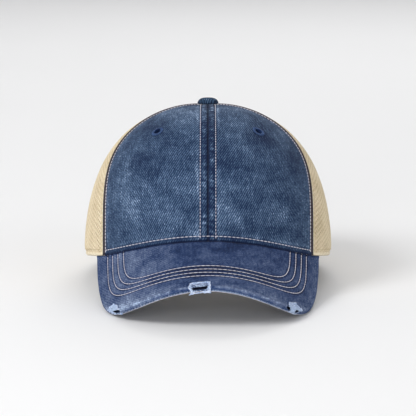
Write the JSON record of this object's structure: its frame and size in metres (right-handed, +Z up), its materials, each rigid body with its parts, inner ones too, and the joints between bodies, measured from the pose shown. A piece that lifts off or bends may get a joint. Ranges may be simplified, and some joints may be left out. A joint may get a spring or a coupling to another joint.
{
  "type": "trucker mesh cap",
  "caption": "Six-panel trucker cap with washed twill front panels, mesh side and back panels, a curved visor and an adjustable snap strap across an arched back opening.",
  "frame": {"origin": "centre of the footprint, on the surface that the cap stands on with its visor's tips and its rim's back corners", "axes": "+Z up, -Y to the front along the visor, +X to the wearer's left"},
  "size_m": [0.1758, 0.2634, 0.1259],
  "materials": {
    "washed_twill": "pigment-dyed and worn, matte",
    "visor_twill": "pigment-dyed, frayed and worn at the edge, matte",
    "underbill_twill": "matte",
    "buckram": "open weave, stiff, matte",
    "tan_mesh": "soft knitted mesh, matte",
    "seam_tape": "woven tape, matte",
    "sweatband_twill": "matte",
    "binding_twill": "matte",
    "visor_board": "matte",
    "button_twill": "matte",
    "button_metal": "satin",
    "eyelet_thread": "close sewn thread, soft sheen",
    "snap_plastic": "semi-gloss"
  },
  "bodies": {
    "cap": {"front_panel_left": "washed_twill", "front_panel_right": "washed_twill", "front_backing_left": "buckram", "front_backing_right": "buckram", "side_mesh_left": "tan_mesh", "side_mesh_right": "tan_mesh", "back_mesh_left": "tan_mesh", "back_mesh_right": "tan_mesh", "front_centre_tape": "seam_tape", "front_side_tape_left": "seam_tape", "front_side_tape_right": "seam_tape", "side_back_tape_left": "seam_tape", "side_back_tape_right": "seam_tape", "back_centre_tape": "seam_tape", "hem_tape_left": "seam_tape", "hem_tape_right": "seam_tape", "sweatband": "sweatband_twill", "opening_binding": "binding_twill", "visor_top_cover": "visor_twill", "visor_board": "visor_board", "visor_under_cover": "underbill_twill", "button_cover": "button_twill", "button_shell": "button_metal", "button_washer": "button_metal", "eyelet_left": "eyelet_thread", "eyelet_right": "eyelet_thread", "hole_strap_root": "snap_plastic", "peg_strap_root": "snap_plastic"},
    "hole_strap": {"hole_strap": "snap_plastic"},
    "peg_strap": {"peg_strap": "snap_plastic"}
  },
  "joints": [
    {"name": "hole_strap_flex", "type": "hinge", "parent": "cap", "child": "hole_strap", "pos_m": [0.04043, 0.11757, 0.013], "axis": [0, -0.1723, -0.985], "range_deg": [0, 60]},
    {"name": "peg_strap_flex", "type": "hinge", "parent": "cap", "child": "peg_strap", "pos_m": [-0.03955, 0.11625, 0.01323], "axis": [0, -0.1723, -0.985], "range_deg": [0, 40]}
  ]
}
